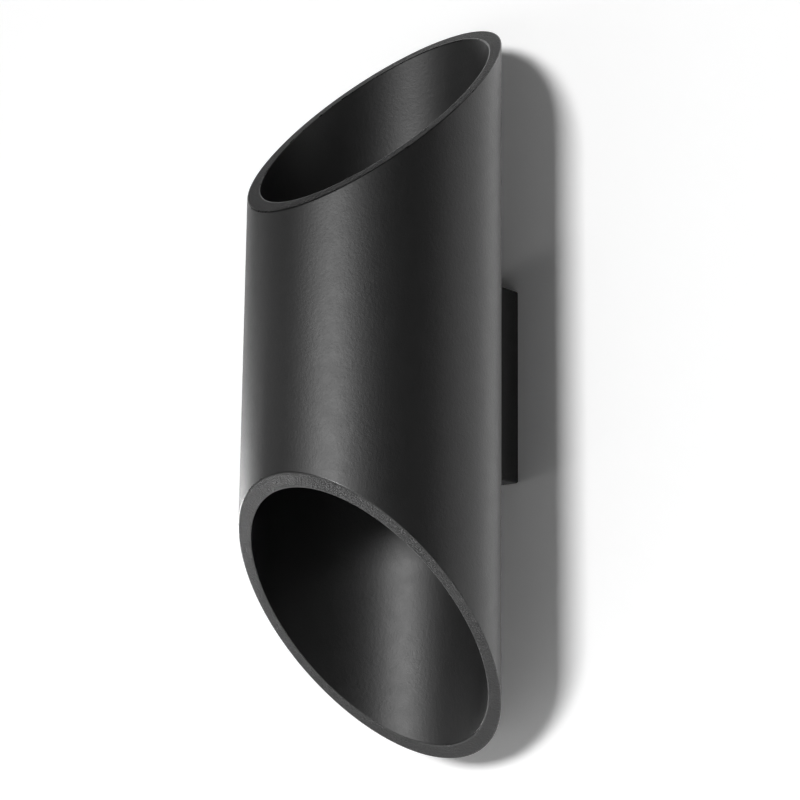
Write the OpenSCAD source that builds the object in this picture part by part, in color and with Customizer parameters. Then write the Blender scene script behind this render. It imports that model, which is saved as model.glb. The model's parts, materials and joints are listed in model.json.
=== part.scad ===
// Up-and-down wall light: a round tube with sloping ends, held off the wall by a small box.
// Origin: middle of the wall bracket's back face, on the wall plane. +Z up, the lamp stands out along -Y.

/* [Tube] */
// Outer diameter of the tube
tube_d = 100; // [92:1:110]
// Height of the tube from tip to tip, on the wall side
tube_h = 300; // [280:5:340]
// Wall thickness of the tube
tube_wall = 5; // [3:0.5:6]
// Slope of both end cuts, in degrees from level
cut_angle = 45; // [35:1:45]

/* [Wall box] */
// Width of the box between the tube and the wall
box_w = 36; // [35:1:44]
// Height of the box
box_h = 80; // [79:1:100]
// Distance between the wall and the tube's back
box_depth = 20; // [19:0.5:26]
// Wall thickness of the box
box_wall = 2; // [1.5:0.25:2.25]
// Thickness of the box's front where it is thinnest
box_web = 2.5; // [2:0.25:3]
// Rounding of the box's long edges
box_round = 1; // [0.5:0.25:2]

/* [Wall bracket] */
// Sheet thickness of the wall bracket
bracket_t = 1.5; // [1:0.25:2]
// Gap between the bracket and the inside of the box
bracket_gap = 0.3; // [0.2:0.05:0.5]
// Inside radius of the bracket's bends
bend_r = 1; // [0.5:0.25:2]
// Width of the two ears
ear_w = 20; // [14:1:26]
// Depth of the two ears, from the wall
ear_depth = 13; // [11:0.5:15]
// Distance between the two slots for wall screws
slot_spacing = 58; // [54:1:60]
// End-to-end length of a slot
slot_len = 10; // [8:0.5:11]
// Width of a slot
slot_w = 4.6; // [4:0.2:5]
// Diameter of the hole for the supply wires
supply_d = 14; // [10:1:14]
// Height of the supply hole and of the wire passage into the tube
wire_z = -13; // [-14:0.5:-12]

/* [Box fasteners] */
// Distance between the two screws that hold the box to the tube
body_spacing = 60; // [56:1:62]
// Thread diameter of the body screws and locking screws
screw_d = 4; // [3:0.5:4]
// Diameter of those screws' heads
head_d = 7; // [6:0.5:7.5]
// Height of those screws' heads
head_h = 2.4; // [2:0.2:3]
// Length of a locking screw under its head
lock_len = 7; // [5:0.5:8]
// Distance of the locking screws from the wall
lock_depth = 8; // [7:0.5:8.5]

/* [Lampholder bracket] */
// Sheet thickness of the bracket that carries the lampholders
shelf_t = 1.5; // [1:0.25:2]
// Width of its upright back
flange_w = 20; // [19:1:24]
// Height of its upright back
flange_h = 74; // [72:1:84]

/* [Lampholders] */
// Diameter of a lampholder
holder_d = 32; // [31:0.5:34]
// Width of a lampholder across its two flats
holder_flat = 20; // [18:1:22]
// Height of the ceramic base
base_h = 9.5; // [9:0.5:12]
// Thickness of the ceramic face
face_t = 4; // [4:0.5:5]
// Distance between the two bolts through the lampholders
bolt_spacing = 22; // [22:0.5:23]
// Thread diameter of those bolts
bolt_d = 3; // [2.5:0.25:3]

/* [Lamps] */
// Largest diameter of a lamp
lamp_d = 35; // [34:0.5:38]
// Length of a lamp without its pins
lamp_len = 35; // [34:1:42]
// Distance between the two pins
pin_spacing = 10; // [9.8:0.1:10.2]
// Diameter of a pin's stem
stem_d = 3; // [2.8:0.1:3.2]
// Diameter of a pin's head
pin_head_d = 5; // [4.8:0.1:5.2]
// Height of a pin's head
pin_head_h = 2.2; // [2:0.1:2.4]
// Turn between locked and free, in degrees
twist_angle = 30; // [25:1:30]
// Number of cooling fins on a lamp
fin_count = 20; // [12:1:24]
// Thickness of a fin
fin_t = 1.2; // [0.8:0.1:1.6]
// Number of light sources in a lamp
led_count = 4; // [3:1:4]

/* [Terminal block] */
// Distance between the three poles
pole_pitch = 9; // [8.8:0.1:9.2]
// Length of a pole
pole_len = 16; // [15:0.5:18]
// Outer diameter of a brass insert
insert_d = 5.8; // [5.6:0.1:6]
// Bore of a brass insert
insert_bore = 4; // [3.9:0.1:4.2]

/* [Wires] */
// Outer diameter of an inner wire
wire_d = 1.8; // [1.4:0.1:1.8]

/* [Hidden] */

// Clearances: between fixed pieces, between moving pieces, and how far a cut runs past a surface
seat = 0.1;
fit = 0.05;
run_gap = 0.3;
past = 1;
// Facets of a large and of a small round; the surfaces themselves are true
$fn = 64;
big_fn = 128;
wire_sides = 8;

// Tube
tube_r = tube_d / 2;
bore_r = tube_r - tube_wall;
axis_y = -box_depth - tube_r;
rear_y = axis_y + tube_r;
front_y = axis_y - tube_r;

// Wall box
web_y = -box_depth + box_web;
saddle_drop = tube_r - sqrt(tube_r * tube_r - box_w * box_w / 4);
bracket_w = box_w - 2 * box_wall - 2 * bracket_gap;
bracket_h = box_h - 2 * box_wall - 2 * bracket_gap;

// Holes and heads
screw_r = screw_d / 2;
screw_hole_r = screw_r + 2 * seat;
thread_r = screw_r + fit;
head_r = head_d / 2;
socket_d = 2.9;
socket_depth = 1.2;
washer_t = 0.8;
washer_r = head_r + 0.4;
nut_h = 3.2;
nut_flats = 7;
screw_tip = 0.6;

// Wire passage
grommet_r = 5;
grommet_bore_r = 3.5;
lip_r = 6.5;
lip_t = 1.5;
passage_r = lip_r + 0.8;

// Lampholder bracket: its back follows the inside of the tube
flange_r = bore_r - seat;
flange_in_r = flange_r - shelf_t;
body_head_y = axis_y + sqrt(flange_in_r * flange_in_r - head_r * head_r) - fit;
body_len = web_y + washer_t + nut_h + seat + screw_tip - body_head_y;
passage_len = 8;
passage_w = 7;
passage_inset = 13;
passage_y = axis_y + bore_r - passage_inset;

// Lampholder
holder_r = holder_d / 2;
holder_h = base_h + face_t;
pin_r = pin_spacing / 2;
keyway_r = stem_d / 2 + run_gap;
entry_r = pin_head_d / 2 + run_gap;
strip_t = 0.6;
strip_w = 2.6;
channel_w = 3.2;
pocket_floor = base_h - 2 * run_gap - pin_head_h - strip_t - fit;
crimp_wall = 0.5;
crimp_len = 2;
crimp_start = 1.2;
rivet_r = 0.9;
rivet_head_r = 1.5;
rivet_head_h = 0.8;
bolt_r = bolt_d / 2;
bolt_head_r = 2.8;
bolt_well_gap = 0.4;
bolt_head_h = 2.4;
bolt_nut_h = 2.4;
bolt_nut_flats = 5.5;
recess_depth = 3.2;
bolt_seat = shelf_t / 2 + holder_h - recess_depth;
bolt_tip = 0.3;

// Lamp, measured from its base face towards its lens
lamp_z = shelf_t / 2 + holder_h + run_gap;
lamp_r = lamp_d / 2;
neck_r = 10.5;
neck_h = 7;
shoulder_r = 13;
shoulder_h = 11;
rim_h = 7;
rim_z = lamp_len - rim_h;
core_r = lamp_r - 1.7;
core_rise = 5;
fin_base_r = lamp_r - 3;
fin_tip_r = lamp_r - 0.3;
fin_rise = 9;
fin_root = 0.4;
lamp_wall = 1.2;
lens_t = 2;
lens_inset = 0.6;
lens_r = lamp_r - 1.9;
lens_z = lamp_len - lens_inset - lens_t;
ledge_r = lens_r - 0.9;
board_t = 1.6;
board_z = rim_z - board_t;
led_side = 3;
led_h = 0.7;
led_ring_r = 6.8;
optic_top_r = led_count > 3 ? 4.4 : 5;
optic_low_r = 2.2;
pin_root = 4;

// Terminal block
pole_wall = 0.75;
pole_r = insert_d / 2 + pole_wall;
pole_depth = 5;
block_back = -bracket_t;
pole_y = block_back - pole_depth;
block_z = 0;
block_mid_z = block_z + pole_len / 2;
tower_r = 3;
tower_reach = 12;
tower_front = block_back - tower_reach;
tower_inset = 4;
pole_screw_r = 1.25;
pole_head_r = 2;
pole_head_h = 1.5;
mount_screw_r = 1.25;
mount_head_r = 2.2;
mount_x = pole_pitch / 2;
mount_rise = 2.9;
slab_t = 3;
bridge_t = 2;
foot_inset = 0.4;
insert_inset = 0.5;
slot_depth = 0.8;
blade_w = 0.6;

// Earth connection
earth_inset = 4.7;
earth_drop = 8;
earth_x = bracket_w / 2 - earth_inset;
earth_z = wire_z - earth_drop;
earth_screw_r = 1.75;
earth_head_r = 3;
lug_r = 3.4;
lug_t = 0.8;
lug_neck_w = 2.6;
lug_barrel_r = 1.7;
lug_barrel_len = 5;
lug_reach = 4;

// Routes of the inner wires, from lampholder or earth lug to terminal
line_x = -9;
upper_front_y = -7.45;
lower_front_y = -5.55;
upper_line_route = [[-5, -63.4, 8.4], [-5, -58, 8.4], [-5, -52, 8.2], [-4.8, -46, 7.2], [-4.4, -41, 4.6],
    [-4, -38.2, 1], [-3.4, -37, -3.5], [-2.5, -35, -8], [-1.5, -31, -11.2], [-1.1, -27, -11.9],
    [-1.1, -19, -11.9], [-2.4, -14.5, -11.2], [-5.4, -10.5, -8.6], [-8.3, -8, -4.4],
    [line_x, upper_front_y, -0.5], [line_x, upper_front_y, 5]];
upper_neutral_route = [[5, -63.4, 8.4], [5, -58, 8.4], [5, -52, 8.2], [4.8, -46, 7.2], [4.4, -41, 4.6],
    [4, -38.2, 1], [3.4, -37, -3.5], [2.5, -35, -8], [1.5, -31, -11.2], [1.1, -27, -11.9],
    [1.1, -19, -11.9], [1, -14.5, -11.2], [0.6, -10.5, -8.4], [0.2, -8, -4.4], [0, upper_front_y, -0.5],
    [0, upper_front_y, 5]];
lower_line_route = [[-5, -63.4, -8.4], [-5, -58, -8.4], [-5, -52, -8.8], [-4.6, -46, -10.2],
    [-3.8, -40, -12.2], [-2.4, -34, -13.7], [-1.1, -28, -14.1], [-1.1, -18.5, -14.1], [-2.8, -13, -13.4],
    [-6.4, -8.6, -10.6], [-8.7, -6.2, -5.6], [line_x, lower_front_y, -1], [line_x, lower_front_y, 5]];
lower_neutral_route = [[5, -63.4, -8.4], [5, -58, -8.4], [5, -52, -8.8], [4.6, -46, -10.2],
    [3.8, -40, -12.2], [2.4, -34, -13.7], [1.1, -28, -14.1], [1.1, -18.5, -14.1], [1, -13, -13.4],
    [0.6, -8.6, -10.4], [0.2, -6.3, -5.6], [0, lower_front_y, -1], [0, lower_front_y, 5]];
earth_route = [[11, -3.2, -14.6], [11, -3.3, -10.5], [10.8, -3.9, -6.5], [10, -5.2, -3.2],
    [9.1, -6.3, -0.6], [9, -6.5, 2], [9, -6.5, 5]];

// Height of the top end plane at a given depth
function top_z(y) = tube_h / 2 + (y - rear_y) * tan(cut_angle);

// Rings of a wire: square to its path, with one side kept level
function unit(v) = v / norm(v);
function heading(path, i) = unit(path[min(i + 1, len(path) - 1)] - path[max(i - 1, 0)]);
function ring(path, i, r) = let (t = heading(path, i), a = unit(cross(t, [1, 0, 0])), b = cross(t, a))
    [for (k = [0 : wire_sides - 1]) let (q = 360 * k / wire_sides) path[i] + r * (cos(q) * a + sin(q) * b)];

module wire(path) {
    last = len(path) - 1;
    points = [for (i = [0 : last]) each ring(path, i, wire_d / 2)];
    sides = [for (i = [0 : last - 1], k = [0 : wire_sides - 1])
        let (a = i * wire_sides + k, b = i * wire_sides + (k + 1) % wire_sides)
        each [[a, b, b + wire_sides], [a, b + wire_sides, a + wire_sides]]];
    start = [[for (k = [0 : wire_sides - 1]) wire_sides - 1 - k]];
    end = [[for (k = [0 : wire_sides - 1]) last * wire_sides + k]];
    polyhedron(points = points, faces = concat(sides, start, end), convexity = 6);
}

// Round bar along Y, from its front end to its back end
module rod_y(x, z, front, back, r) {
    translate([x, back, z]) rotate([90, 0, 0]) cylinder(h = back - front, r = r);
}

// Rectangle with true round corners, centred
module rounded_square(w, h, r) {
    square([w - 2 * r, h], center = true);
    square([w, h - 2 * r], center = true);
    for (x = [-1, 1], y = [-1, 1])
        translate([x * (w / 2 - r), y * (h / 2 - r)]) circle(r = r);
}

// Hexagon by its width across flats
module hexagon(flats) {
    circle(d = flats / cos(30), $fn = 6);
}

// Path of a round thing of radius r that turns with the lamp, for one pin
module pin_sweep(r) {
    reach = 2 * pin_spacing;
    for (a = [0, twist_angle]) rotate(a) translate([pin_r, 0]) circle(r = r);
    intersection() {
        difference() {
            circle(r = pin_r + r);
            circle(r = pin_r - r);
        }
        polygon([[0, 0], [reach, 0], [reach * cos(twist_angle), reach * sin(twist_angle)]]);
    }
}

// Wider space under a keyway, with flat ends, for the pin's head
module pin_pocket(r) {
    reach = 2 * pin_spacing;
    margin = asin(r / pin_r) + 1;
    intersection() {
        difference() {
            circle(r = pin_r + r);
            circle(r = pin_r - r);
        }
        polygon([[0, 0], for (a = [-margin, twist_angle / 2, twist_angle + margin])
            [reach * cos(a), reach * sin(a)]]);
    }
}

module both_pins() {
    for (a = [0, 180]) rotate(a) children();
}

// Places a lampholder or lamp that is drawn upwards from the bracket's middle plane
module on_upper() {
    translate([0, axis_y, 0]) children();
}

module on_lower() {
    translate([0, axis_y, 0]) rotate([0, 180, 0]) children();
}

// Everything inside the tube's outer surface, for saddles and seats
module tube_space(r) {
    translate([0, axis_y, -tube_h]) cylinder(h = 2 * tube_h, r = r, $fn = big_fn);
}

module body_holes(r) {
    for (z = [-1, 1]) rod_y(0, z * body_spacing / 2, axis_y, past, r);
}

module tube_body() {
    low_y = front_y - past;
    high_y = rear_y + past;
    color("#2a2a2b")
    difference() {
        intersection() {
            tube_space(tube_r);
            rotate([90, 0, 90]) linear_extrude(height = tube_d + 2 * past, center = true)
                polygon([[low_y, -top_z(low_y)], [high_y, -top_z(high_y)],
                    [high_y, top_z(high_y)], [low_y, top_z(low_y)]]);
        }
        tube_space(bore_r);
        body_holes(screw_hole_r);
        rod_y(0, wire_z, axis_y, past, grommet_r);
    }
}

module mount_housing() {
    inner_w = box_w - 2 * box_wall;
    inner_h = box_h - 2 * box_wall;
    color("#202021")
    difference() {
        rotate([90, 0, 0]) linear_extrude(box_depth + saddle_drop) rounded_square(box_w, box_h, box_round);
        tube_space(tube_r + seat);
        translate([-inner_w / 2, web_y, -inner_h / 2]) cube([inner_w, past - web_y, inner_h]);
        body_holes(screw_hole_r);
        rod_y(0, wire_z, axis_y, past, passage_r);
        translate([0, -lock_depth, -box_h]) cylinder(h = 2 * box_h, r = screw_hole_r);
    }
}

// Side view of the folded bracket: a C that is open to the front
module bracket_section() {
    intersection() {
        difference() {
            translate([-ear_depth, 0]) rounded_square(2 * ear_depth, bracket_h, bend_r + bracket_t);
            translate([-ear_depth - bracket_t, 0])
                rounded_square(2 * ear_depth, bracket_h - 2 * bracket_t, bend_r);
        }
        translate([-ear_depth, -bracket_h]) square([ear_depth + past, 2 * bracket_h]);
    }
}

module wall_slot(z) {
    end = (slot_len - slot_w) / 2;
    for (s = [-1, 1]) rod_y(0, z + s * end, -bracket_t - past, past, slot_w / 2);
    translate([-slot_w / 2, -bracket_t - past, z - end]) cube([slot_w, bracket_t + 2 * past, 2 * end]);
}

module wall_bracket() {
    side = (bracket_w - ear_w) / 2;
    ear_back = bend_r + bracket_t;
    color("#b9bcc0")
    difference() {
        rotate([90, 0, 90]) linear_extrude(height = bracket_w, center = true) bracket_section();
        for (s = [0, 1]) mirror([s, 0, 0]) translate([ear_w / 2, -ear_depth - past, -box_h])
            cube([side + past, ear_depth + past - ear_back, 2 * box_h]);
        for (s = [-1, 1]) wall_slot(s * slot_spacing / 2);
        rod_y(0, wire_z, -bracket_t - past, past, supply_d / 2);
        rod_y(mount_x, block_mid_z, -bracket_t - past, past, mount_screw_r + fit);
        rod_y(earth_x, earth_z, -bracket_t - past, past, earth_screw_r + fit);
        translate([0, -lock_depth, -box_h]) cylinder(h = 2 * box_h, r = thread_r);
    }
}

// Screw along +Z with its head's underside at z = 0 and its tip below
module cap_screw(r, length, top_r, top_h, socket) {
    difference() {
        union() {
            translate([0, 0, -length]) cylinder(h = length, r = r);
            cylinder(h = top_h, r = top_r);
        }
        translate([0, 0, top_h - socket_depth]) linear_extrude(socket_depth + past) hexagon(socket);
    }
}

module locking_screws() {
    color("#2c2c2e")
    for (s = [0, 1]) mirror([0, 0, s]) translate([0, -lock_depth, box_h / 2])
        cap_screw(screw_r, lock_len, head_r, head_h, socket_d);
}

module body_screws() {
    color("#c3c5c8")
    for (s = [-1, 1]) translate([0, body_head_y, s * body_spacing / 2]) rotate([90, 0, 0])
        cap_screw(screw_r, body_len, head_r, head_h, socket_d);
}

// Toothed lock washer: its teeth bite the box and the nut
module body_washers() {
    teeth = 12;
    tooth_w = 0.9;
    color("#a9acb0")
    for (s = [-1, 1]) translate([0, web_y + washer_t, s * body_spacing / 2]) rotate([90, 0, 0])
        linear_extrude(washer_t) difference() {
            circle(r = washer_r);
            circle(r = screw_hole_r);
            for (i = [0 : teeth - 1]) rotate(i * 360 / teeth)
                translate([washer_r, 0]) square([1.6, tooth_w], center = true);
        }
}

module body_nuts() {
    color("#c3c5c8")
    for (s = [-1, 1])
        translate([0, web_y + washer_t + fit + nut_h, s * body_spacing / 2]) rotate([90, 0, 0])
        linear_extrude(nut_h) difference() {
            hexagon(nut_flats);
            circle(r = thread_r);
        }
}

// The grommet's two lips follow the tube's inner and outer surfaces
module wire_grommet() {
    lip_front = rear_y - tube_wall - lip_t;
    lip_back = rear_y + lip_t;
    color("#1c1c1c")
    difference() {
        union() {
            rod_y(0, wire_z, lip_front, lip_back, grommet_r - fit);
            difference() {
                rod_y(0, wire_z, lip_front, lip_back, lip_r);
                difference() {
                    tube_space(tube_r + fit);
                    tube_space(bore_r - fit);
                }
            }
        }
        rod_y(0, wire_z, axis_y, past, grommet_bore_r);
    }
}

module holder_outline() {
    intersection() {
        circle(r = holder_r);
        square([holder_d, holder_flat], center = true);
    }
}

module holder_bracket() {
    color("#c9ccd0")
    difference() {
        union() {
            intersection() {
                difference() {
                    tube_space(flange_r);
                    tube_space(flange_in_r);
                }
                translate([-flange_w / 2, axis_y, -flange_h / 2]) cube([flange_w, tube_d, flange_h]);
            }
            intersection() {
                tube_space(flange_r - shelf_t / 2);
                translate([0, axis_y, -shelf_t / 2]) linear_extrude(shelf_t) union() {
                    holder_outline();
                    translate([-flange_w / 2, 0]) square([flange_w, tube_d]);
                }
            }
        }
        body_holes(screw_hole_r);
        rod_y(0, wire_z, axis_y + holder_r, past, passage_r);
        translate([0, passage_y, -shelf_t]) linear_extrude(2 * shelf_t)
            rounded_square(passage_len + passage_w, passage_w, passage_w / 2 - fit);
        for (x = [-1, 1]) translate([x * bolt_spacing / 2, axis_y, -shelf_t])
            cylinder(h = 2 * shelf_t, r = bolt_r + seat);
    }
}

module bolt_positions() {
    for (x = [-1, 1]) translate([x * bolt_spacing / 2, 0, 0]) children();
}

// Two long bolts clamp both lampholders, one from each side, to the bracket
module holder_bolts() {
    color("#c3c5c8")
    on_upper() bolt_positions() translate([0, 0, bolt_seat])
        cap_screw(bolt_r, 2 * bolt_seat + bolt_nut_h + bolt_tip, bolt_head_r, bolt_head_h, 2.5);
}

module holder_nuts() {
    color("#c3c5c8")
    on_lower() bolt_positions() translate([0, 0, bolt_seat + fit])
        linear_extrude(bolt_nut_h) difference() {
            hexagon(bolt_nut_flats);
            circle(r = bolt_r + fit);
        }
}

// Ceramic base: two pockets that the pins' heads turn in, each with a channel for its contact and wire
module holder_base() {
    color("#ece8df")
    difference() {
        translate([0, 0, shelf_t / 2]) linear_extrude(base_h) holder_outline();
        translate([0, 0, shelf_t / 2 + pocket_floor]) linear_extrude(base_h) {
            both_pins() pin_pocket(entry_r);
            for (x = [-1, 1]) translate([x * pin_r - channel_w / 2, 0]) square([channel_w, holder_flat]);
        }
        bolt_positions() cylinder(h = holder_h, r = bolt_r + seat);
        cylinder(h = holder_h, r = rivet_r + fit);
        cylinder(h = shelf_t / 2 + rivet_head_h + seat, r = rivet_head_r + seat);
    }
}

// Ceramic face: two keyways, wide where the heads go in and narrow where they lock
module holder_face() {
    color("#f1ede4")
    difference() {
        translate([0, 0, shelf_t / 2 + base_h]) linear_extrude(face_t) difference() {
            holder_outline();
            both_pins() {
                pin_sweep(keyway_r);
                rotate(twist_angle) translate([pin_r, 0]) circle(r = entry_r);
            }
        }
        bolt_positions() cylinder(h = 2 * holder_h, r = bolt_r + seat);
        bolt_positions() translate([0, 0, bolt_seat])
            cylinder(h = holder_h, r = bolt_head_r + bolt_well_gap);
        cylinder(h = 2 * holder_h, r = rivet_r + fit);
        translate([0, 0, shelf_t / 2 + holder_h - rivet_head_h - seat])
            cylinder(h = holder_h, r = rivet_head_r + seat);
    }
}

module holder_rivet() {
    low = shelf_t / 2 + fit;
    high = shelf_t / 2 + holder_h - fit;
    color("#c3c5c8")
    translate([0, 0, low]) {
        cylinder(h = high - low, r = rivet_r);
        cylinder(h = rivet_head_h, r = rivet_head_r);
        translate([0, 0, high - low - rivet_head_h]) cylinder(h = rivet_head_h, r = rivet_head_r);
    }
}

// Contact strip under each pin's head, folded up round the wire's end at the back
module holder_contacts() {
    floor_z = shelf_t / 2 + pocket_floor + fit;
    crimp_y = holder_flat / 2 - crimp_start - crimp_len;
    crimp_half = wire_d / 2 + seat;
    strip_front = -strip_w / 2;
    color("#c9a44c")
    for (x = [-1, 1]) translate([x * pin_r, 0, floor_z]) {
        translate([-strip_w / 2, strip_front, 0])
            cube([strip_w, holder_flat / 2 - crimp_start - strip_front, strip_t]);
        for (s = [-1, 1]) translate([s * (crimp_half + crimp_wall / 2) - crimp_wall / 2, crimp_y, 0])
            cube([crimp_wall, crimp_len, strip_t + wire_d]);
    }
}

module lamp_base() {
    color("#e9e7e2")
    translate([0, 0, lamp_z]) difference() {
        rotate_extrude() polygon([[0, 0], [neck_r - 0.6, 0], [neck_r, 0.6], [neck_r, neck_h],
            [shoulder_r, shoulder_h], [0, shoulder_h]]);
        both_pins() translate([pin_r, 0, -past]) cylinder(h = pin_root + past, r = stem_d / 2 + fit);
    }
}

module lamp_pins() {
    tip = run_gap + face_t + run_gap + pin_head_h;
    color("#c8c4b8")
    translate([0, 0, lamp_z]) both_pins() translate([pin_r, 0, -tip]) {
        cylinder(h = tip + pin_root - fit, r = stem_d / 2);
        cylinder(h = pin_head_h, r = pin_head_d / 2);
    }
}

// Finned heat sink: a thin cup inside radial fins, closed off by a plain rim
module lamp_housing() {
    low = shoulder_h + fit;
    floor_top = low + 1.5;
    color("#d9d9d6")
    translate([0, 0, lamp_z]) union() {
        rotate_extrude() polygon([[0, low], [shoulder_r, low], [shoulder_r, low + core_rise],
            [core_r, board_z - past], [core_r, rim_z], [lamp_r, rim_z], [lamp_r, lamp_len],
            [lens_r + seat, lamp_len], [lens_r + seat, lens_z - seat], [ledge_r, lens_z - seat],
            [ledge_r, board_z - seat], [shoulder_r - fin_root, board_z - seat],
            [shoulder_r - lamp_wall, floor_top], [0, floor_top]]);
        intersection() {
            for (i = [0 : fin_count - 1]) rotate(i * 360 / fin_count)
                translate([shoulder_r - fin_root, -fin_t / 2, low])
                cube([lamp_r, fin_t, rim_z - low + fin_root]);
            rotate_extrude() polygon([[shoulder_r - fin_root, low], [fin_base_r, low],
                [fin_tip_r, low + fin_rise], [fin_tip_r, rim_z + fin_root],
                [core_r - fin_root, rim_z + fin_root], [core_r - fin_root, board_z - past],
                [shoulder_r - fin_root, low + core_rise]]);
        }
    }
}

module led_positions() {
    for (i = [0 : led_count - 1]) rotate(i * 360 / led_count) translate([led_ring_r, 0, 0]) children();
}

module lamp_board() {
    color("#f4f4f1")
    translate([0, 0, lamp_z + board_z]) {
        cylinder(h = board_t, r = ledge_r - seat);
        led_positions() translate([-led_side / 2, -led_side / 2, board_t])
            cube([led_side, led_side, led_h]);
    }
}

// Clear front disc with a moulded cone of glass-clear plastic over each light source
module lamp_lens() {
    optic_low = board_z + board_t + led_h + run_gap;
    color("#dfe6ea")
    translate([0, 0, lamp_z]) {
        translate([0, 0, lens_z]) cylinder(h = lens_t, r = lens_r);
        led_positions() translate([0, 0, optic_low])
            cylinder(h = lens_z - optic_low, r1 = optic_low_r, r2 = optic_top_r);
    }
}

module pole_positions() {
    for (i = [-1 : 1]) translate([i * pole_pitch, 0, 0]) children();
}

module pole_screw_places() {
    for (z = [tower_inset, pole_len - tower_inset]) translate([0, 0, block_z + z]) children();
}

// Three barrels on a slab, each with two screw towers
module terminal_block() {
    slab_w = 2 * pole_pitch + 2 * pole_r;
    color("#e3e1db")
    difference() {
        union() {
            translate([-slab_w / 2, block_back - slab_t, block_z]) cube([slab_w, slab_t - fit, pole_len]);
            pole_positions() {
                translate([0, pole_y, block_z]) cylinder(h = pole_len, r = pole_r);
                translate([-pole_r + foot_inset, pole_y, block_z])
                    cube([2 * (pole_r - foot_inset), block_back - fit - pole_y, pole_len]);
                pole_screw_places() rod_y(0, 0, tower_front, pole_y, tower_r);
            }
            translate([-pole_pitch, pole_y, block_z]) cube([2 * pole_pitch, bridge_t, pole_len]);
            rod_y(mount_x, block_mid_z, pole_y - mount_rise, pole_y, mount_head_r);
        }
        pole_positions() {
            translate([0, pole_y, block_z - past])
                cylinder(h = pole_len + 2 * past, r = insert_d / 2 + fit);
            pole_screw_places() rod_y(0, 0, tower_front - past, pole_y, pole_head_r + seat);
        }
        rod_y(mount_x, block_mid_z, tower_front, past, mount_screw_r + seat);
    }
}

module terminal_inserts() {
    color("#c9a44c")
    pole_positions() difference() {
        translate([0, pole_y, block_z + insert_inset])
            cylinder(h = pole_len - 2 * insert_inset, r = insert_d / 2);
        translate([0, pole_y, block_z]) cylinder(h = pole_len, r = insert_bore / 2);
        pole_screw_places() rod_y(0, 0, tower_front, pole_y, pole_screw_r + fit);
    }
}

// The lower row is run down onto the wires, the upper row stands open for the supply
module terminal_screws() {
    tip = pole_y - insert_bore / 2 - fit;
    length = insert_d / 2 - insert_bore / 2 + 1;
    color("#d0b268")
    pole_positions() pole_screw_places() translate([0, tip, 0]) rotate([90, 0, 0]) difference() {
        union() {
            cylinder(h = length, r = pole_screw_r);
            translate([0, 0, length]) cylinder(h = pole_head_h, r = pole_head_r);
        }
        translate([-pole_head_r, -blade_w / 2, length + slot_depth]) cube([2 * pole_head_r, blade_w, past]);
    }
}

module terminal_mount_screw() {
    head_y = pole_y - mount_rise - fit;
    color("#c3c5c8")
    translate([mount_x, head_y, block_mid_z]) rotate([90, 0, 0]) difference() {
        union() {
            translate([0, 0, head_y + seat]) cylinder(h = -head_y - seat, r = mount_screw_r);
            cylinder(h = 2 * slot_depth, r = mount_head_r);
        }
        translate([-mount_head_r, -blade_w / 2, slot_depth]) cube([2 * mount_head_r, blade_w, past]);
    }
}

module earth_screw() {
    head_y = -bracket_t - lug_t - 2 * fit;
    color("#c9a44c")
    translate([earth_x, head_y, earth_z]) rotate([90, 0, 0]) difference() {
        union() {
            translate([0, 0, head_y + seat]) cylinder(h = -head_y - seat, r = earth_screw_r);
            cylinder(h = 2, r = earth_head_r);
        }
        translate([-earth_head_r, -0.35, 1]) cube([2 * earth_head_r, 0.7, past]);
    }
}

// Ring under the screw, with a barrel crimped on the wire
module earth_lug() {
    back = -bracket_t - fit;
    barrel_y = back - lug_barrel_r;
    color("#cfd2d5")
    difference() {
        union() {
            rod_y(earth_x, earth_z, back - lug_t, back, lug_r);
            translate([earth_x - lug_neck_w / 2, back - lug_t, earth_z])
                cube([lug_neck_w, lug_t, lug_reach + past]);
            translate([earth_x, barrel_y, earth_z + lug_reach])
                cylinder(h = lug_barrel_len, r = lug_barrel_r);
        }
        rod_y(earth_x, earth_z, back - 2 * lug_t, past, earth_screw_r + seat);
        translate([earth_x, barrel_y, earth_z + lug_reach + past])
            cylinder(h = lug_barrel_len, r = wire_d / 2 + fit);
    }
}

tube_body();
mount_housing();
wall_bracket();
locking_screws();
body_screws();
body_washers();
body_nuts();
wire_grommet();
holder_bracket();
holder_bolts();
holder_nuts();
on_upper() holder_base();  // upper_holder_base
on_upper() holder_face();  // upper_holder_face
on_upper() holder_rivet();  // upper_holder_rivet
on_upper() holder_contacts();  // upper_holder_contacts
on_lower() holder_base();  // lower_holder_base
on_lower() holder_face();  // lower_holder_face
on_lower() holder_rivet();  // lower_holder_rivet
on_lower() holder_contacts();  // lower_holder_contacts
on_upper() lamp_base();  // upper_lamp_base
on_upper() lamp_pins();  // upper_lamp_pins
on_upper() lamp_housing();  // upper_lamp_housing
on_upper() lamp_board();  // upper_lamp_board
on_upper() lamp_lens();  // upper_lamp_lens
on_lower() lamp_base();  // lower_lamp_base
on_lower() lamp_pins();  // lower_lamp_pins
on_lower() lamp_housing();  // lower_lamp_housing
on_lower() lamp_board();  // lower_lamp_board
on_lower() lamp_lens();  // lower_lamp_lens
terminal_block();
terminal_inserts();
terminal_screws();
terminal_mount_screw();
earth_screw();
earth_lug();
color("#6b3f22") wire(upper_line_route);  // upper_line_wire
color("#2f5fa8") wire(upper_neutral_route);  // upper_neutral_wire
color("#6b3f22") wire(lower_line_route);  // lower_line_wire
color("#2f5fa8") wire(lower_neutral_route);  // lower_neutral_wire
color("#5f8f3a") wire(earth_route);  // earth_wire
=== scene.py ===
"""Looks of the wall light: a black powder-coated tube with sloping ends on a small saddle box.

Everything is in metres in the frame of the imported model: the wall is the plane y = 0, the lamp
stands out along -Y and +Z is up.
"""

import json
import math

import bmesh
import bpy
from mathutils import Matrix, Vector


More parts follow.
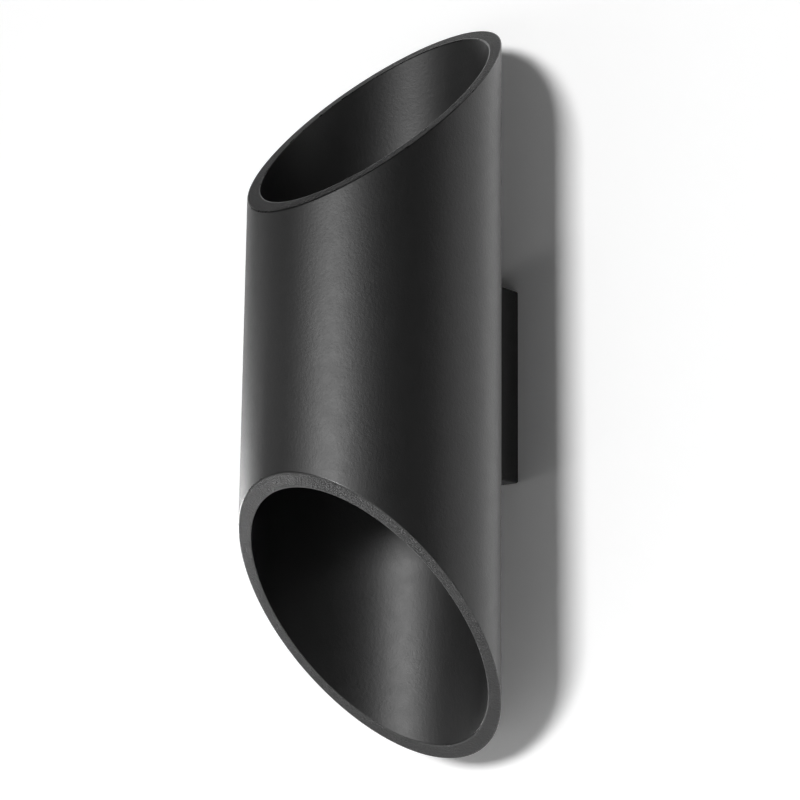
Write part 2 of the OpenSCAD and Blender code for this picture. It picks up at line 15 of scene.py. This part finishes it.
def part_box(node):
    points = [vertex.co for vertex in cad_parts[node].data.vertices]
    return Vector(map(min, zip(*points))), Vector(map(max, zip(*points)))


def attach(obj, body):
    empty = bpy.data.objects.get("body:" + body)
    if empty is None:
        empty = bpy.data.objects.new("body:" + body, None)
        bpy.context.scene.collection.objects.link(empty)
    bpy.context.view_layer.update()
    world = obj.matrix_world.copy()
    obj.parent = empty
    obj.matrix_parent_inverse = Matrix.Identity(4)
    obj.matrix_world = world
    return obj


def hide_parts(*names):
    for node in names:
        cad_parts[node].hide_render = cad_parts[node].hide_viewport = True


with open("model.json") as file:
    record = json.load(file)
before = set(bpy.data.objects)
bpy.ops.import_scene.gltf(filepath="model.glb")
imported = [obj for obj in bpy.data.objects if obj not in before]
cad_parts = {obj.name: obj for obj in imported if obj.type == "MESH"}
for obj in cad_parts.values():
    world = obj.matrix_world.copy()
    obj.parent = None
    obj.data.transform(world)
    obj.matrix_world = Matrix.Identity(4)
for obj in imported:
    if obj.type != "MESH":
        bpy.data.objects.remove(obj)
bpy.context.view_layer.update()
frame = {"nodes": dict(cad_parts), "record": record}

MM = 0.001

# Sizes that the solids give
TUBE_LOW, TUBE_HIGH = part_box("tube_body")
TUBE_R = (TUBE_HIGH.y - TUBE_LOW.y) / 2
AXIS_Y = (TUBE_HIGH.y + TUBE_LOW.y) / 2
HALF_H = TUBE_HIGH.z
BOX_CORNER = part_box("mount_housing")[1]
BOX_HALF_W = BOX_CORNER.x
BOX_HALF_H = BOX_CORNER.z

# Sizes inside the solids, which a box round them doesn't give
TUBE_WALL = 5 * MM
SCREW_HOLE_R = 2.2 * MM
BODY_SCREW_Z = 30 * MM
WIRE_Z = -13 * MM
GROMMET_R = 5 * MM
WIRE_R = 0.9 * MM

# Camera of the photograph, as azimuth and elevation of the lens seen from the lamp
CAMERA_AZIMUTH = math.radians(40.251)
CAMERA_ELEVATION = math.radians(-11.462)
CAMERA_ROLL = math.radians(0.619)
CAMERA_PLACE = Vector((0.49139, -0.63356, -0.16626))
CAMERA_LENS = 88.94
CAMERA_NEAR = 0.01
SENSOR = 36.0


# Camera, wall, floor and lights


def add_camera():
    data = bpy.data.cameras.new("camera")
    data.sensor_width = SENSOR
    data.lens = CAMERA_LENS
    data.clip_start = CAMERA_NEAR
    camera = bpy.data.objects.new("camera", data)
    bpy.context.scene.collection.objects.link(camera)
    level = math.cos(CAMERA_ELEVATION)
    back = Vector((math.sin(CAMERA_AZIMUTH) * level, -math.cos(CAMERA_AZIMUTH) * level,
                   math.sin(CAMERA_ELEVATION)))
    level_right = Vector((math.cos(CAMERA_AZIMUTH), math.sin(CAMERA_AZIMUTH), 0))
    level_up = back.cross(level_right)
    right = level_right * math.cos(CAMERA_ROLL) + level_up * math.sin(CAMERA_ROLL)
    turn = Matrix((right, back.cross(right), back)).transposed()
    camera.matrix_world = Matrix.Translation(CAMERA_PLACE) @ turn.to_4x4()
    bpy.context.scene.camera = camera


def new_object(name, mesh):
    made = bpy.data.objects.new(name, mesh)
    bpy.context.scene.collection.objects.link(made)
    return made


def mesh_from(name, points, faces):
    mesh = bpy.data.meshes.new(name)
    mesh.from_pydata([tuple(p) for p in points], [], faces)
    mesh.update()
    return mesh


LIT_POINT = Vector((0, -0.07, 0))
OUT_OF_WALL = Vector((0, -1, 0))

# Each light's place, its width and height, and its power in watts
KEY = (0.302, -2.943, 0.253), (0.7, 0.57), 59.5
LOW_LEFT = (-1.119, -0.391, -0.29), (0.25, 0.25), 1.35
FAR_GLOW = (-0.6, -0.01, -0.15), (0.25, 0.35), 13
SIDE = (-1.0, -0.5, 0.1), (0.6, 0.6), 1.1
NEAR_GLOW = (0.056, -0.003, 0), (0.014, 0.36), 0.026
BACK = (0.5, 1.3, 0.6), (0.8, 0.8), 9


def add_area_light(name, place, size, power, look=None):
    """A rectangular light that faces the lit point, or along look where that is given."""
    data = bpy.data.lights.new(name, "AREA")
    data.shape = "RECTANGLE"
    data.size, data.size_y = size
    data.energy = power
    light = bpy.data.objects.new(name, data)
    bpy.context.scene.collection.objects.link(light)
    place = Vector(place)
    if look is None:
        look = LIT_POINT - place
    turn = look.to_track_quat("-Z", "Y").to_matrix().to_4x4()
    light.matrix_world = Matrix.Translation(place) @ turn
    return light


def reflected_only(light):
    """Lets the light show in reflections alone: it lights nothing matt, and isn't seen itself."""
    light.visible_diffuse = False
    light.visible_camera = False


def add_lights():
    """The key, a matt fill, a light behind, and three soft ones that only the coat reflects."""
    add_area_light("key", *KEY)
    add_area_light("low_left", *LOW_LEFT).visible_glossy = False
    reflected_only(add_area_light("far_glow", *FAR_GLOW, OUT_OF_WALL))
    reflected_only(add_area_light("side", *SIDE))
    reflected_only(add_area_light("near_glow", *NEAR_GLOW, OUT_OF_WALL))
    add_area_light("back", *BACK)


WORLD_STRENGTH = 0.06


def add_world():
    """One dim white for every ray. The white behind the lamp is the wall's and the floor's."""
    world = bpy.data.worlds.new("studio")
    world.use_nodes = True
    bpy.context.scene.world = world
    nodes, links = world.node_tree.nodes, world.node_tree.links
    nodes.clear()
    out = nodes.new("ShaderNodeOutputWorld")
    soft = nodes.new("ShaderNodeBackground")
    soft.inputs["Color"].default_value = (1, 1, 1, 1)
    soft.inputs["Strength"].default_value = WORLD_STRENGTH
    links.new(soft.outputs[0], out.inputs["Surface"])


def seen_ray(nodes, links):
    """1 for the rays that show the background, straight or in metal and glass, and 0 for light."""
    path = nodes.new("ShaderNodeLightPath")
    either = nodes.new("ShaderNodeMath")
    seen = nodes.new("ShaderNodeMath")
    either.operation = "MAXIMUM"
    seen.operation = "MAXIMUM"
    links.new(path.outputs["Is Camera Ray"], either.inputs[0])
    links.new(path.outputs["Is Glossy Ray"], either.inputs[1])
    links.new(either.outputs[0], seen.inputs[0])
    links.new(path.outputs["Is Transmission Ray"], seen.inputs[1])
    return seen.outputs[0]


def paint(name, colour, seen):
    """Matt paint that is whiter to the eye than to the light, and clear from behind."""
    made = bpy.data.materials.new(name)
    made.use_nodes = True
    nodes, links = made.node_tree.nodes, made.node_tree.links
    nodes.clear()
    out = nodes.new("ShaderNodeOutputMaterial")
    mix = nodes.new("ShaderNodeMixShader")
    side = nodes.new("ShaderNodeNewGeometry")
    tone = nodes.new("ShaderNodeMix")
    matt = nodes.new("ShaderNodeBsdfDiffuse")
    clear = nodes.new("ShaderNodeBsdfTransparent")
    tone.data_type = "RGBA"
    tone.inputs["A"].default_value = (*colour, 1)
    tone.inputs["B"].default_value = (*seen, 1)
    links.new(seen_ray(nodes, links), tone.inputs["Factor"])
    links.new(tone.outputs["Result"], matt.inputs["Color"])
    links.new(side.outputs["Backfacing"], mix.inputs[0])
    links.new(matt.outputs[0], mix.inputs[1])
    links.new(clear.outputs[0], mix.inputs[2])
    links.new(mix.outputs[0], out.inputs["Surface"])
    return made


# Wall and floor: their colour to the light and to the eye, and their edges
WALL_COLOUR = (0.93, 0.93, 0.93)
WALL_SEEN = (1.2, 1.2, 1.2)
FLOOR_COLOUR = (0.85, 0.85, 0.85)
FLOOR_SEEN = (1.5, 1.5, 1.5)
WALL_LEFT = -1.2
WALL_RIGHT = 0.27
WALL_TOP = 0.27
WALL_GAP = 0.05 * MM
HOLE_MARGIN = 0.5 * MM
FLOOR_Z = -0.75
FLOOR_HALF = 1.3
FLOOR_FRONT = -1.8


def add_stage():
    """A white wall with a cut-out behind the box, and a pale floor well below the lamp."""
    x = BOX_HALF_W - HOLE_MARGIN
    z = BOX_HALF_H - HOLE_MARGIN
    outer = [(WALL_LEFT, 0, FLOOR_Z), (WALL_RIGHT, 0, FLOOR_Z),
             (WALL_RIGHT, 0, WALL_TOP), (WALL_LEFT, 0, WALL_TOP)]
    inner = [(-x, 0, -z), (x, 0, -z), (x, 0, z), (-x, 0, z)]
    faces = [(i, (i + 1) % 4, 4 + (i + 1) % 4, 4 + i) for i in range(4)]
    wall = new_object("wall", mesh_from("wall", outer + inner, faces))
    wall.location.y = WALL_GAP
    wall.data.materials.append(paint("wall_paint", WALL_COLOUR, WALL_SEEN))
    corners = [(-FLOOR_HALF, FLOOR_FRONT, FLOOR_Z), (FLOOR_HALF, FLOOR_FRONT, FLOOR_Z),
               (FLOOR_HALF, 0, FLOOR_Z), (-FLOOR_HALF, 0, FLOOR_Z)]
    floor = new_object("floor", mesh_from("floor", corners, [(0, 1, 2, 3)]))
    floor.data.materials.append(paint("floor_paint", FLOOR_COLOUR, FLOOR_SEEN))


# Materials


# How much fine detail each noise holds, and the span that its values mostly fill
SLOW_DETAIL = 4.0
FINE_DETAIL = 2.0
SWELL_DETAIL = 1.0
NOISE_ROUGHNESS = 0.6
NOISE_LOW = 0.25
NOISE_HIGH = 0.75


def noise(nodes, links, coords, size, detail):
    """Noise whose grain is about size metres across."""
    made = nodes.new("ShaderNodeTexNoise")
    made.inputs["Scale"].default_value = 1 / size
    made.inputs["Detail"].default_value = detail
    made.inputs["Roughness"].default_value = NOISE_ROUGHNESS
    links.new(coords.outputs["Object"], made.inputs["Vector"])
    return made


def remap(nodes, links, source, low, high):
    """Stretches a noise over the values from low to high."""
    made = nodes.new("ShaderNodeMapRange")
    made.inputs["From Min"].default_value = NOISE_LOW
    made.inputs["From Max"].default_value = NOISE_HIGH
    made.inputs["To Min"].default_value = low
    made.inputs["To Max"].default_value = high
    links.new(source, made.inputs["Value"])
    return made.outputs["Result"]


def finish(name, colour, roughness, metallic=0.0, spread=0.1, vary=0.12, grain=0.4 * MM,
           bump=0.02 * MM, swell=None, ior=1.5, blotch=6 * MM, transmission=0.0):
    """A material with slow colour changes, uneven gloss and a fine grain, from object-space noise.

    vary is the share by which the colour changes, blotch the width of those changes, spread the
    change of roughness, grain and bump the width and height of the surface's grain, and swell the
    width and height of a slower waviness.
    """
    made = bpy.data.materials.new(name)
    made.use_nodes = True
    nodes, links = made.node_tree.nodes, made.node_tree.links
    shader = nodes["Principled BSDF"]
    coords = nodes.new("ShaderNodeTexCoord")
    shader.inputs["Metallic"].default_value = metallic
    shader.inputs["IOR"].default_value = ior
    shader.inputs["Transmission Weight"].default_value = transmission
    slow = noise(nodes, links, coords, blotch, SLOW_DETAIL)
    waves = [(noise(nodes, links, coords, grain, FINE_DETAIL), bump)]
    if swell:
        width, height = swell
        waves.append((noise(nodes, links, coords, width, SWELL_DETAIL), height))
    ramp = nodes.new("ShaderNodeMix")
    ramp.data_type = "RGBA"
    ramp.inputs["A"].default_value = (*[c * (1 - vary) for c in colour], 1)
    ramp.inputs["B"].default_value = (*[min(1, c * (1 + vary)) for c in colour], 1)
    links.new(remap(nodes, links, slow.outputs["Fac"], 0, 1), ramp.inputs["Factor"])
    links.new(ramp.outputs["Result"], shader.inputs["Base Color"])
    gloss = remap(nodes, links, slow.outputs["Fac"], roughness - spread / 2, roughness + spread / 2)
    links.new(gloss, shader.inputs["Roughness"])
    normal = None
    for source, height in waves:
        bumps = nodes.new("ShaderNodeBump")
        bumps.inputs["Distance"].default_value = height
        bumps.inputs["Strength"].default_value = 1.0
        links.new(source.outputs["Fac"], bumps.inputs["Height"])
        if normal is not None:
            links.new(normal, bumps.inputs["Normal"])
        normal = bumps.outputs["Normal"]
    links.new(normal, shader.inputs["Normal"])
    return made


COAT_BLACK = (0.0024, 0.0024, 0.0025)


def make_materials():
    """One material for each slot of the record, and the tube's rim and rim edges."""
    return {
        "black_coat": finish("black_coat", COAT_BLACK, 0.48, spread=0.05, vary=0.15,
                             grain=0.35 * MM, bump=0.05 * MM, swell=(1.3 * MM, 0.05 * MM),
                             ior=1.62),
        "black_rim": finish("black_rim", COAT_BLACK, 0.52, spread=0.05, vary=0.3, grain=0.7 * MM,
                            bump=0.7 * MM, ior=1.62),
        "black_edge": finish("black_edge", COAT_BLACK, 0.28, spread=0.05, vary=0.15, grain=0.8 * MM,
                             bump=0.02 * MM, ior=1.75),
        "zinc_sheet": finish("zinc_sheet", (0.56, 0.57, 0.59), 0.38, metallic=1.0, spread=0.2,
                             vary=0.1, grain=0.5 * MM, bump=0.01 * MM, blotch=3 * MM),
        "screw_steel": finish("screw_steel", (0.6, 0.6, 0.61), 0.3, metallic=1.0, spread=0.15,
                              vary=0.08, grain=0.3 * MM, bump=0.006 * MM, blotch=2 * MM),
        "black_rubber": finish("black_rubber", (0.012, 0.012, 0.012), 0.75, vary=0.2,
                               grain=0.3 * MM, bump=0.02 * MM),
        "ceramic": finish("ceramic", (0.78, 0.75, 0.68), 0.5, vary=0.05, grain=0.25 * MM,
                          bump=0.015 * MM, blotch=4 * MM),
        "contact_brass": finish("contact_brass", (0.72, 0.52, 0.22), 0.28, metallic=1.0, spread=0.2,
                                vary=0.12, grain=0.3 * MM, bump=0.006 * MM, blotch=2 * MM),
        "pin_nickel": finish("pin_nickel", (0.64, 0.6, 0.53), 0.2, metallic=1.0, vary=0.06,
                             grain=0.3 * MM, bump=0.004 * MM, blotch=2 * MM),
        "lamp_plastic": finish("lamp_plastic", (0.78, 0.77, 0.74), 0.42, vary=0.03, grain=0.4 * MM,
                               bump=0.01 * MM),
        "lamp_metal": finish("lamp_metal", (0.72, 0.72, 0.71), 0.4, metallic=0.7, vary=0.05,
                             grain=0.3 * MM, bump=0.012 * MM),
        "board_white": finish("board_white", (0.85, 0.85, 0.83), 0.35, vary=0.03, grain=0.5 * MM,
                              bump=0.004 * MM),
        "lens_clear": finish("lens_clear", (0.95, 0.97, 0.98), 0.12, spread=0.04, vary=0.01,
                             grain=0.6 * MM, bump=0.004 * MM, ior=1.49, transmission=0.85),
        "terminal_plastic": finish("terminal_plastic", (0.74, 0.72, 0.66), 0.5, vary=0.04,
                                   grain=0.4 * MM, bump=0.012 * MM),
        "wire_brown": finish("wire_brown", (0.13, 0.055, 0.025), 0.45, vary=0.08, grain=0.4 * MM,
                             bump=0.008 * MM),
        "wire_blue": finish("wire_blue", (0.03, 0.11, 0.36), 0.45, vary=0.08, grain=0.4 * MM,
                            bump=0.008 * MM),
        "wire_green": finish("wire_green", (0.1, 0.27, 0.05), 0.45, vary=0.08, grain=0.4 * MM,
                             bump=0.008 * MM),
    }


# The tube, built to the same sizes as its solid, with rounded ends


def end_height(y):
    """Height of the top end's plane at depth y: it slopes at 45 degrees, up towards the wall."""
    return HALF_H + (y - TUBE_HIGH.y)


TUBE_STEPS = 288
RIM_BEVEL = 0.45 * MM
BEVEL_STEPS = 4
# Rings this far beyond each rounded edge keep its shading off the long faces
EDGE_GUARD = 0.25 * MM
# A face this near the slope is part of the flat end face, and a deeper one of its rounded edge
RIM_FLAT = 0.005 * MM


def rim_profile():
    """Points (radius, offset from the end plane) from the outer wall over the rim to the inner."""
    inner_r = TUBE_R - TUBE_WALL
    turns = [i / BEVEL_STEPS for i in range(BEVEL_STEPS + 1)]
    outer_edge = [(TUBE_R - RIM_BEVEL * t * t, -RIM_BEVEL * (1 - t) ** 2) for t in turns]
    inner_edge = [(inner_r + RIM_BEVEL * (1 - t) ** 2, -RIM_BEVEL * t * t) for t in turns]
    guard_out = [(TUBE_R, -RIM_BEVEL - EDGE_GUARD)]
    guard_mid = [(TUBE_R - RIM_BEVEL - EDGE_GUARD, 0), (inner_r + RIM_BEVEL + EDGE_GUARD, 0)]
    guard_in = [(inner_r, -RIM_BEVEL - EDGE_GUARD)]
    return guard_out + outer_edge + guard_mid + inner_edge + guard_in


def tube_ring(radius, offset, side):
    """One closed ring of the tube's top end (side 1) or bottom end (side -1), of that radius."""
    ring = []
    for i in range(TUBE_STEPS):
        a = math.tau * (i + 0.5) / TUBE_STEPS
        y = AXIS_Y + radius * math.sin(a)
        ring.append(Vector((radius * math.cos(a), y, side * (end_height(y) + offset))))
    return ring


def add_tube():
    """The tube as rings of faces, with its two screw holes and its wire hole towards the wall."""
    profile = rim_profile()
    rings = [tube_ring(r, offset, 1) for r, offset in profile]
    rings += [tube_ring(r, offset, -1) for r, offset in reversed(profile)]
    points = [p for ring in rings for p in ring]
    faces = []
    for k in range(len(rings)):
        a, b = k * TUBE_STEPS, ((k + 1) % len(rings)) * TUBE_STEPS
        for i in range(TUBE_STEPS):
            j = (i + 1) % TUBE_STEPS
            faces.append((a + i, a + j, b + j, b + i))
    tube = new_object("tube_shell", mesh_from("tube_shell", points, faces))
    holes = [(BODY_SCREW_Z, SCREW_HOLE_R), (-BODY_SCREW_Z, SCREW_HOLE_R), (WIRE_Z, GROMMET_R)]
    cut_along_y(tube, holes, AXIS_Y, 0)
    return tube


CUTTER_STEPS = 48


def cylinder_mesh(bm, centre, axis, radius, length):
    turn = Vector((0, 0, 1)).rotation_difference(Vector(axis)).to_matrix().to_4x4()
    bmesh.ops.create_cone(bm, cap_ends=True, segments=CUTTER_STEPS, radius1=radius, radius2=radius,
                          depth=length, matrix=Matrix.Translation(centre) @ turn)


def apply_modifiers(piece):
    """Keeps the evaluated mesh and drops the modifiers."""
    bpy.context.view_layer.update()
    graph = bpy.context.evaluated_depsgraph_get()
    made = bpy.data.meshes.new_from_object(piece.evaluated_get(graph))
    piece.modifiers.clear()
    piece.data = made


def subtract(piece, cutter_bm):
    mesh = bpy.data.meshes.new("cutter")
    cutter_bm.to_mesh(mesh)
    cutter_bm.free()
    cutter = new_object("cutter", mesh)
    cut = piece.modifiers.new("cut", "BOOLEAN")
    cut.operation = "DIFFERENCE"
    cut.solver = "EXACT"
    cut.object = cutter
    apply_modifiers(piece)
    bpy.data.objects.remove(cutter)


def cut_along_y(piece, holes, front, back):
    """Cuts round holes (height, radius) in the middle plane, from depth front to depth back."""
    bm = bmesh.new()
    for z, r in holes:
        cylinder_mesh(bm, Vector((0, (front + back) / 2, z)), (0, 1, 0), r, back - front)
    subtract(piece, bm)


def smooth(piece, degrees=35):
    """Smooth shading with hard edges where the surface turns by more than that angle."""
    for p in piece.data.polygons:
        p.use_smooth = True
    piece.data.set_sharp_from_angle(angle=math.radians(degrees))


# Points closer than this are one point, and faces that turn by less than this are one flat face
MERGE_DISTANCE = 0.0005 * MM
FLAT_ANGLE = math.radians(0.4)
ROUND_STEPS = 2
SHARP_DEGREES = 32


def bevelled_copy(node, name, width):
    """The CAD node's mesh as a new piece, its flat faces joined and its edges rounded."""
    mesh = frame["nodes"][node].data.copy()
    mesh.materials.clear()
    piece = new_object(name, mesh)
    bm = bmesh.new()
    bm.from_mesh(mesh)
    bmesh.ops.remove_doubles(bm, verts=bm.verts, dist=MERGE_DISTANCE)
    bmesh.ops.dissolve_limit(bm, angle_limit=FLAT_ANGLE, verts=bm.verts, edges=bm.edges)
    bm.to_mesh(mesh)
    bm.free()
    soften = piece.modifiers.new("soften", "BEVEL")
    soften.width = width
    soften.segments = ROUND_STEPS
    soften.limit_method = "ANGLE"
    soften.angle_limit = math.radians(SHARP_DEGREES)
    soften.harden_normals = False
    soften.use_clamp_overlap = True
    apply_modifiers(piece)
    smooth(piece, SHARP_DEGREES)
    return piece


def mark_rims(piece):
    """Gives the sloping end faces the second material, and their rounded edges the third."""
    for p in piece.data.polygons:
        depth = end_height(p.center.y) - abs(p.center.z)
        p.material_index = 1 if depth < RIM_FLAT else 2 if depth < RIM_BEVEL else 0


SLOT_OF = {s["node"]: s["material_slot"] for s in frame["record"]["subparts"]}
BODY_OF = {n: b for b, members in frame["record"]["behaviour"]["bodies"].items() for n in members}


def dress(piece, node, *materials):
    """Gives the piece its materials, and its node's body, place and slot."""
    piece.data.materials.clear()
    for material in materials:
        piece.data.materials.append(material)
    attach(piece, BODY_OF[node])
    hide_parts(node)


# Inner wires, along the same points as their solids (millimetres)

WIRE_ROUTES = {
    "upper_line_wire": [(-5, -63.4, 8.4), (-5, -58, 8.4), (-5, -52, 8.2), (-4.8, -46, 7.2),
                        (-4.4, -41, 4.6), (-4, -38.2, 1), (-3.4, -37, -3.5), (-2.5, -35, -8),
                        (-1.5, -31, -11.2), (-1.1, -27, -11.9), (-1.1, -19, -11.9),
                        (-2.4, -14.5, -11.2), (-5.4, -10.5, -8.6), (-8.3, -8, -4.4),
                        (-9, -7.45, -0.5), (-9, -7.45, 5)],
    "upper_neutral_wire": [(5, -63.4, 8.4), (5, -58, 8.4), (5, -52, 8.2), (4.8, -46, 7.2),
                           (4.4, -41, 4.6), (4, -38.2, 1), (3.4, -37, -3.5), (2.5, -35, -8),
                           (1.5, -31, -11.2), (1.1, -27, -11.9), (1.1, -19, -11.9),
                           (1, -14.5, -11.2), (0.6, -10.5, -8.4), (0.2, -8, -4.4),
                           (0, -7.45, -0.5), (0, -7.45, 5)],
    "lower_line_wire": [(-5, -63.4, -8.4), (-5, -58, -8.4), (-5, -52, -8.8), (-4.6, -46, -10.2),
                        (-3.8, -40, -12.2), (-2.4, -34, -13.7), (-1.1, -28, -14.1),
                        (-1.1, -18.5, -14.1), (-2.8, -13, -13.4), (-6.4, -8.6, -10.6),
                        (-8.7, -6.2, -5.6), (-9, -5.55, -1), (-9, -5.55, 5)],
    "lower_neutral_wire": [(5, -63.4, -8.4), (5, -58, -8.4), (5, -52, -8.8), (4.6, -46, -10.2),
                           (3.8, -40, -12.2), (2.4, -34, -13.7), (1.1, -28, -14.1),
                           (1.1, -18.5, -14.1), (1, -13, -13.4), (0.6, -8.6, -10.4),
                           (0.2, -6.3, -5.6), (0, -5.55, -1), (0, -5.55, 5)],
    "earth_wire": [(11, -3.2, -14.6), (11, -3.3, -10.5), (10.8, -3.9, -6.5), (10, -5.2, -3.2),
                   (9.1, -6.3, -0.6), (9, -6.5, 2), (9, -6.5, 5)],
}
WIRE_STEPS = 4
WIRE_SIDES = 16


def curve_point(points, t):
    """Point on the smooth curve through the route's points, t running over their numbers."""
    last = len(points) - 1
    i = min(int(t), last - 1)
    s = t - i
    a, b = points[max(i - 1, 0)], points[i]
    c, d = points[i + 1], points[min(i + 2, last)]
    square = 2 * a - 5 * b + 4 * c - d
    cube = 3 * b - a - 3 * c + d
    return 0.5 * ((2 * b) + (c - a) * s + square * s * s + cube * s ** 3)


def add_wire(name):
    """A round wire along its route, as one closed tube."""
    route = [Vector(p) * MM for p in WIRE_ROUTES[name]]
    count = (len(route) - 1) * WIRE_STEPS
    path = [curve_point(route, i / WIRE_STEPS) for i in range(count + 1)]
    points, faces = [], []
    for i, p in enumerate(path):
        along = (path[min(i + 1, count)] - path[max(i - 1, 0)]).normalized()
        side = along.cross(Vector((1, 0, 0))).normalized()
        other = along.cross(side)
        for k in range(WIRE_SIDES):
            a = math.tau * k / WIRE_SIDES
            points.append(p + WIRE_R * (math.cos(a) * side + math.sin(a) * other))
    for i in range(count):
        for k in range(WIRE_SIDES):
            a, b = i * WIRE_SIDES + k, i * WIRE_SIDES + (k + 1) % WIRE_SIDES
            faces.append((a, b, b + WIRE_SIDES, a + WIRE_SIDES))
    faces.append(tuple(reversed(range(WIRE_SIDES))))
    faces.append(tuple(count * WIRE_SIDES + k for k in range(WIRE_SIDES)))
    piece = new_object(name + "_sleeve", mesh_from(name + "_sleeve", points, faces))
    smooth(piece)
    return piece


# How far the edges of each solid's copy are rounded
EDGE_ROUNDS = {
    "mount_housing": 0.35 * MM,
    "wall_bracket": 0.2 * MM,
    "locking_screws": 0.3 * MM,
    "body_screws": 0.3 * MM,
    "body_washers": 0.08 * MM,
    "body_nuts": 0.25 * MM,
    "wire_grommet": 0.3 * MM,
    "holder_bracket": 0.2 * MM,
    "holder_bolts": 0.25 * MM,
    "holder_nuts": 0.2 * MM,
    "holder_base": 0.35 * MM,
    "holder_face": 0.35 * MM,
    "holder_rivet": 0.2 * MM,
    "holder_contacts": 0.06 * MM,
    "lamp_base": 0.3 * MM,
    "lamp_pins": 0.3 * MM,
    "lamp_housing": 0.2 * MM,
    "lamp_board": 0.1 * MM,
    "lamp_lens": 0.25 * MM,
    "terminal_block": 0.2 * MM,
    "terminal_inserts": 0.12 * MM,
    "terminal_screws": 0.12 * MM,
    "terminal_mount_screw": 0.12 * MM,
    "earth_screw": 0.2 * MM,
    "earth_lug": 0.12 * MM,
}


def edge_round(node):
    """The node's edge rounding: upper and lower pieces share the one that names neither."""
    return EDGE_ROUNDS.get(node) or EDGE_ROUNDS[node.split("_", 1)[1]]


def dress_all(materials):
    """Builds and dresses the tube, the wires and a rounded copy of every other solid."""
    tube = add_tube()
    smooth(tube)
    blacks = [materials[name] for name in ("black_coat", "black_rim", "black_edge")]
    dress(tube, "tube_body", *blacks)
    mark_rims(tube)
    for node in frame["nodes"]:
        if node == "tube_body":
            continue
        if node in WIRE_ROUTES:
            piece = add_wire(node)
        else:
            piece = bevelled_copy(node, node + "_finished", edge_round(node))
        dress(piece, node, materials[SLOT_OF[node]])


add_camera()
add_stage()
add_world()
add_lights()
dress_all(make_materials())
bpy.context.scene.view_settings.view_transform = "Standard"
